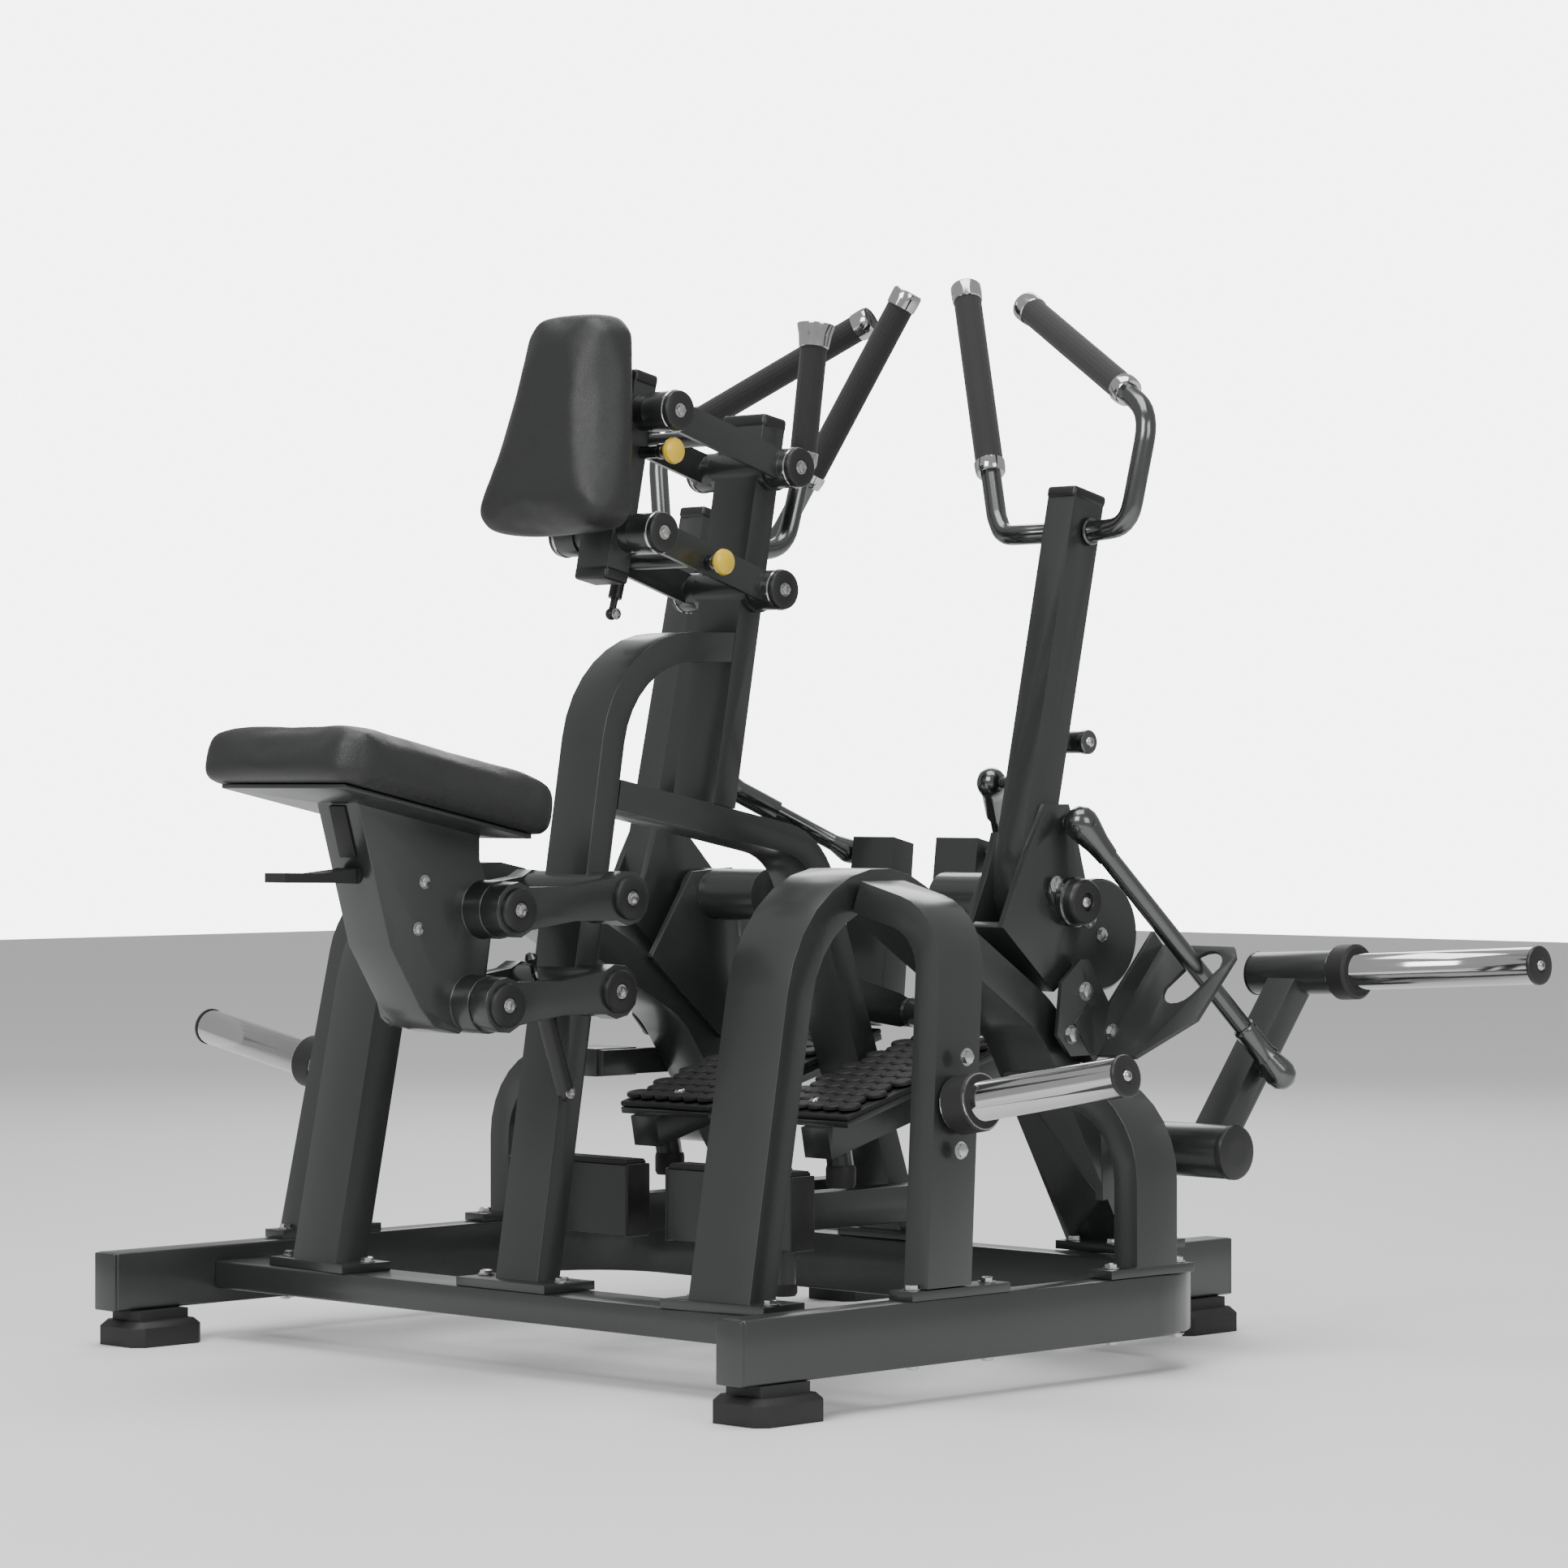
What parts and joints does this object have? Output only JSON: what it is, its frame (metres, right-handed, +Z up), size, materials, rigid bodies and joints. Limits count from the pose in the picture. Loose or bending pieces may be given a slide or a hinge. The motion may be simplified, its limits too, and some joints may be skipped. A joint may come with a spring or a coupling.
{
  "type": "seated row machine",
  "caption": "Plate-loaded seated row machine with independent pivoting levers, pedal assist, adjustable seat and chest pad, weight horns and storage horns on a bolted tube frame.",
  "frame": {"origin": "on the floor, under the middle of the overall box", "axes": "+Z up, +Y the way the seated user faces, +X the user's right"},
  "size_m": [1.8088, 1.461, 1.4773],
  "materials": {
    "frame_paint": "satin dark grey-green metallic",
    "arm_paint": "satin dark grey-green metallic",
    "chrome": "bright plated",
    "steel": "bright rod",
    "gunmetal": "glossy gunmetal",
    "rubber": "matt black",
    "foam": "closed-cell foam grip",
    "hide": "grained black upholstery",
    "yellow": "golden yellow knob"
  },
  "bodies": {
    "frame": {"base_frame": "frame_paint", "front_cross_rail": "frame_paint", "foot_front_right": "rubber", "foot_front_left": "rubber", "foot_rear_right": "rubber", "foot_rear_left": "rubber", "arch_right": "frame_paint", "arch_left": "frame_paint", "outrigger_right": "frame_paint", "outrigger_left": "frame_paint", "curved_leg_right": "frame_paint", "curved_leg_left": "frame_paint", "centre_post": "frame_paint", "mast": "frame_paint", "spine": "frame_paint", "foot_bar_right": "frame_paint", "foot_bar_left": "frame_paint", "storage_horn_right": "chrome", "storage_horn_left": "chrome", "pivot_housing_right": "frame_paint", "pivot_housing_left": "frame_paint", "guard_right": "frame_paint", "guard_left": "frame_paint", "steady_handle": "gunmetal", "steady_grip": "foam"},
    "lever_body_right": {"lever_right": "arm_paint", "handle_tube_right": "gunmetal", "grip_inner_right": "foam", "grip_outer_right": "foam"},
    "push_rod_body_right": {"push_rod_right": "gunmetal"},
    "weight_arm_body_right": {"weight_arm_right": "arm_paint", "weight_horn_right": "chrome"},
    "link_rod_body_right": {"link_rod_right": "gunmetal"},
    "pedal_body_right": {"pedal_right": "arm_paint", "pedal_tread_right": "rubber"},
    "lever_body_left": {"lever_left": "arm_paint", "handle_tube_left": "gunmetal", "grip_inner_left": "foam", "grip_outer_left": "foam"},
    "push_rod_body_left": {"push_rod_left": "gunmetal"},
    "weight_arm_body_left": {"weight_arm_left": "arm_paint", "weight_horn_left": "chrome"},
    "link_rod_body_left": {"link_rod_left": "gunmetal"},
    "pedal_body_left": {"pedal_left": "arm_paint", "pedal_tread_left": "rubber"},
    "seat_upper": {"seat_link_upper": "arm_paint"},
    "seat_lower": {"seat_link_lower": "arm_paint"},
    "seat_carriage": {"seat_bracket": "arm_paint", "seat_pad": "hide"},
    "seat_paddle_body": {"seat_paddle": "rubber"},
    "seat_spring_case_body": {"seat_spring_case": "rubber"},
    "seat_spring_rod_body": {"seat_spring_rod": "steel"},
    "chest_upper": {"chest_link_upper": "arm_paint"},
    "chest_lower": {"chest_link_lower": "arm_paint"},
    "chest_carriage": {"chest_upright": "arm_paint", "chest_pad": "hide"},
    "chest_spring_case_body": {"chest_spring_case": "rubber"},
    "chest_spring_rod_body": {"chest_spring_rod": "steel"},
    "pull_pin_upper_body": {"pull_pin_upper": "yellow"},
    "pull_pin_lower_body": {"pull_pin_lower": "yellow"}
  },
  "joints": [
    {"name": "lever_swing_right", "type": "hinge", "parent": "frame", "child": "lever_body_right", "pos_m": [0.356, 0.3305, 0.607], "axis": [1, 0, 0], "range_deg": [0, 24]},
    {"name": "push_rod_pivot_right", "type": "hinge", "parent": "lever_body_right", "child": "push_rod_body_right", "pos_m": [0.417, 0.3305, 0.7125], "axis": [1, 0, 0], "range_deg": [-30, 2]},
    {"name": "weight_arm_swing_right", "type": "hinge", "parent": "frame", "child": "weight_arm_body_right", "pos_m": [0.45, 0.501, 0.2695], "axis": [1, 0, 0], "range_deg": [0, 30]},
    {"name": "link_rod_pivot_right", "type": "hinge", "parent": "lever_body_right", "child": "link_rod_body_right", "pos_m": [0.26, 0.3255, 0.767], "axis": [1, 0, 0], "range_deg": [-40, 10]},
    {"name": "pedal_swing_right", "type": "hinge", "parent": "frame", "child": "pedal_body_right", "pos_m": [0.15, 0.4055, 0.445], "axis": [1, 0, 0], "range_deg": [0, 20]},
    {"name": "lever_swing_left", "type": "hinge", "parent": "frame", "child": "lever_body_left", "pos_m": [-0.356, 0.3305, 0.607], "axis": [1, 0, 0], "range_deg": [0, 24]},
    {"name": "push_rod_pivot_left", "type": "hinge", "parent": "lever_body_left", "child": "push_rod_body_left", "pos_m": [-0.417, 0.3305, 0.7125], "axis": [1, 0, 0], "range_deg": [-30, 2]},
    {"name": "weight_arm_swing_left", "type": "hinge", "parent": "frame", "child": "weight_arm_body_left", "pos_m": [-0.45, 0.501, 0.2695], "axis": [1, 0, 0], "range_deg": [0, 30]},
    {"name": "link_rod_pivot_left", "type": "hinge", "parent": "lever_body_left", "child": "link_rod_body_left", "pos_m": [-0.26, 0.3255, 0.767], "axis": [1, 0, 0], "range_deg": [-40, 10]},
    {"name": "pedal_swing_left", "type": "hinge", "parent": "frame", "child": "pedal_body_left", "pos_m": [-0.15, 0.4055, 0.445], "axis": [1, 0, 0], "range_deg": [0, 20]},
    {"name": "seat_link_upper_hinge", "type": "hinge", "parent": "frame", "child": "seat_upper", "pos_m": [0, -0.2065, 0.616], "axis": [1, 0, 0], "range_deg": [-15, 15]},
    {"name": "seat_link_lower_hinge", "type": "hinge", "parent": "frame", "child": "seat_lower", "pos_m": [0, -0.2265, 0.495], "axis": [1, 0, 0], "range_deg": [-15, 15]},
    {"name": "seat_carriage_hinge", "type": "hinge", "parent": "seat_upper", "child": "seat_carriage", "pos_m": [0, -0.4035, 0.604], "axis": [1, 0, 0], "range_deg": [-15, 15]},
    {"name": "seat_paddle_hinge", "type": "hinge", "parent": "seat_carriage", "child": "seat_paddle_body", "pos_m": [0, -0.599, 0.649], "axis": [1, 0, 0], "range_deg": [0, 12], "stiffness_Nm_per_rad": 1.2},
    {"name": "seat_spring_hinge", "type": "hinge", "parent": "frame", "child": "seat_spring_case_body", "pos_m": [0.06, -0.2785, 0.364], "axis": [1, 0, 0], "range_deg": [-6, 6]},
    {"name": "seat_spring_slide", "type": "slide", "parent": "seat_spring_case_body", "child": "seat_spring_rod_body", "axis": [0, -0.3275, 0.9449], "range_m": [-0.05, 0.05]},
    {"name": "chest_link_upper_hinge", "type": "hinge", "parent": "frame", "child": "chest_upper", "pos_m": [0, 0.1205, 1.193], "axis": [1, 0, 0], "range_deg": [-12, 12]},
    {"name": "chest_link_lower_hinge", "type": "hinge", "parent": "frame", "child": "chest_lower", "pos_m": [0, 0.0895, 1.027], "axis": [1, 0, 0], "range_deg": [-12, 12]},
    {"name": "chest_carriage_hinge", "type": "hinge", "parent": "chest_upper", "child": "chest_carriage", "pos_m": [0, -0.1075, 1.258], "axis": [1, 0, 0], "range_deg": [-12, 12]},
    {"name": "chest_spring_hinge", "type": "hinge", "parent": "frame", "child": "chest_spring_case_body", "pos_m": [-0.045, -0.0965, 0.993], "axis": [1, 0, 0], "range_deg": [-8, 8]},
    {"name": "chest_spring_slide", "type": "slide", "parent": "chest_spring_case_body", "child": "chest_spring_rod_body", "axis": [0, 0.2724, 0.9622], "range_m": [-0.03, 0.03]},
    {"name": "pull_pin_upper_slide", "type": "slide", "parent": "chest_carriage", "child": "pull_pin_upper_body", "axis": [1, 0, 0], "range_m": [0, 0.012], "stiffness_N_per_m": 500},
    {"name": "pull_pin_lower_slide", "type": "slide", "parent": "chest_lower", "child": "pull_pin_lower_body", "axis": [1, 0, 0], "range_m": [0, 0.012], "stiffness_N_per_m": 500}
  ],
  "couplings": [
    {"joint": "push_rod_pivot_right", "follows": "lever_swing_right", "ratio": -0.818},
    {"joint": "weight_arm_swing_right", "follows": "lever_swing_right", "ratio": 0.4038},
    {"joint": "link_rod_pivot_right", "follows": "lever_swing_right", "ratio": -0.6354},
    {"joint": "pedal_swing_right", "follows": "lever_swing_right", "ratio": 0.544},
    {"joint": "push_rod_pivot_left", "follows": "lever_swing_left", "ratio": -0.818},
    {"joint": "weight_arm_swing_left", "follows": "lever_swing_left", "ratio": 0.4038},
    {"joint": "link_rod_pivot_left", "follows": "lever_swing_left", "ratio": -0.6354},
    {"joint": "pedal_swing_left", "follows": "lever_swing_left", "ratio": 0.544},
    {"joint": "seat_link_lower_hinge", "follows": "seat_link_upper_hinge", "ratio": 1},
    {"joint": "seat_carriage_hinge", "follows": "seat_link_upper_hinge", "ratio": -1},
    {"joint": "seat_spring_hinge", "follows": "seat_link_upper_hinge", "ratio": 0.1},
    {"joint": "seat_spring_slide", "follows": "seat_link_upper_hinge", "m_per_rad": -0.115},
    {"joint": "chest_link_lower_hinge", "follows": "chest_link_upper_hinge", "ratio": 1},
    {"joint": "chest_carriage_hinge", "follows": "chest_link_upper_hinge", "ratio": -1},
    {"joint": "chest_spring_hinge", "follows": "chest_link_upper_hinge", "ratio": 0.15},
    {"joint": "chest_spring_slide", "follows": "chest_link_upper_hinge", "m_per_rad": -0.09}
  ]
}
